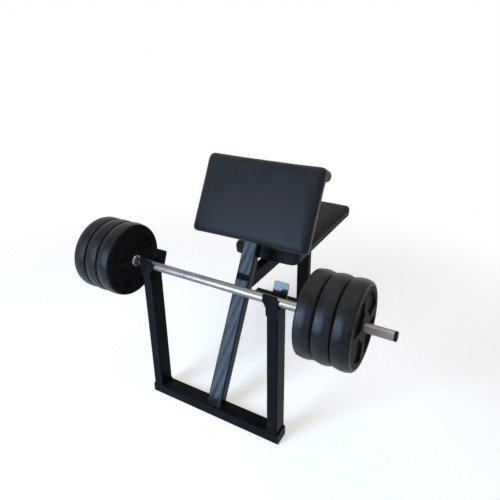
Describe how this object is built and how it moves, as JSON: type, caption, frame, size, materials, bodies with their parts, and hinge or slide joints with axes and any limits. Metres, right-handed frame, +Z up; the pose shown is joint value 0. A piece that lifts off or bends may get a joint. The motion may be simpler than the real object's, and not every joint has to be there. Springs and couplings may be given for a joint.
{
  "type": "preacher curl bench",
  "caption": "Preacher curl bench with an inclined arm pad, a long seat, two bar rests on uprights and a loaded straight bar.",
  "frame": {"origin": "on the floor, under the middle of the front base tube", "axes": "+X to the right along the bar, +Y to the back, +Z up"},
  "size_m": [1.226, 1.1866, 0.8952],
  "materials": {
    "frame": "black powder coat, satin",
    "end_cap": "black plastic",
    "board": "plywood",
    "bolt": "zinc plated",
    "cover": "black leatherette over foam",
    "bar": "chrome plated",
    "plate": "black plastic shell, satin"
  },
  "bodies": {
    "bench": {"front_base_tube": "frame", "rear_foot_tube": "frame", "left_upright": "frame", "right_upright": "frame", "centre_post": "frame", "seat_beam": "frame", "rear_post": "frame", "left_saddle_plate": "frame", "left_lip_plate": "frame", "left_guide_plate": "frame", "right_saddle_plate": "frame", "right_lip_plate": "frame", "right_guide_plate": "frame", "arm_pad_lower_strap": "frame", "arm_pad_upper_strap": "frame", "seat_front_strap": "frame", "seat_rear_strap": "frame", "front_base_cap_left": "end_cap", "front_base_cap_right": "end_cap", "rear_foot_cap_left": "end_cap", "rear_foot_cap_right": "end_cap", "centre_post_cap": "end_cap", "seat_beam_cap": "end_cap", "arm_pad_board": "board", "seat_board": "board", "arm_pad_bolts": "bolt", "seat_bolts": "bolt", "arm_pad_cushion": "cover", "seat_cushion": "cover"},
    "barbell": {"bar_tube": "bar", "bar_collars": "bar", "bar_plugs": "end_cap"},
    "left_inner_plate": {"left_inner_plate": "plate"},
    "left_middle_plate": {"left_middle_plate": "plate"},
    "left_outer_plate": {"left_outer_plate": "plate"},
    "right_inner_plate": {"right_inner_plate": "plate"},
    "right_middle_plate": {"right_middle_plate": "plate"},
    "right_outer_plate": {"right_outer_plate": "plate"}
  },
  "joints": [
    {"name": "barbell_lift", "type": "slide", "parent": "bench", "child": "barbell", "axis": [0, 0, 1], "range_m": [0, 0.3]},
    {"name": "left_inner_plate_slide", "type": "slide", "parent": "barbell", "child": "left_inner_plate", "axis": [-1, 0, 0], "range_m": [0, 0.27]},
    {"name": "left_middle_plate_slide", "type": "slide", "parent": "left_inner_plate", "child": "left_middle_plate", "axis": [-1, 0, 0], "range_m": [0, 0.21]},
    {"name": "left_outer_plate_slide", "type": "slide", "parent": "left_middle_plate", "child": "left_outer_plate", "axis": [-1, 0, 0], "range_m": [0, 0.16]},
    {"name": "right_inner_plate_slide", "type": "slide", "parent": "barbell", "child": "right_inner_plate", "axis": [1, 0, 0], "range_m": [0, 0.27]},
    {"name": "right_middle_plate_slide", "type": "slide", "parent": "right_inner_plate", "child": "right_middle_plate", "axis": [1, 0, 0], "range_m": [0, 0.21]},
    {"name": "right_outer_plate_slide", "type": "slide", "parent": "right_middle_plate", "child": "right_outer_plate", "axis": [1, 0, 0], "range_m": [0, 0.16]}
  ]
}
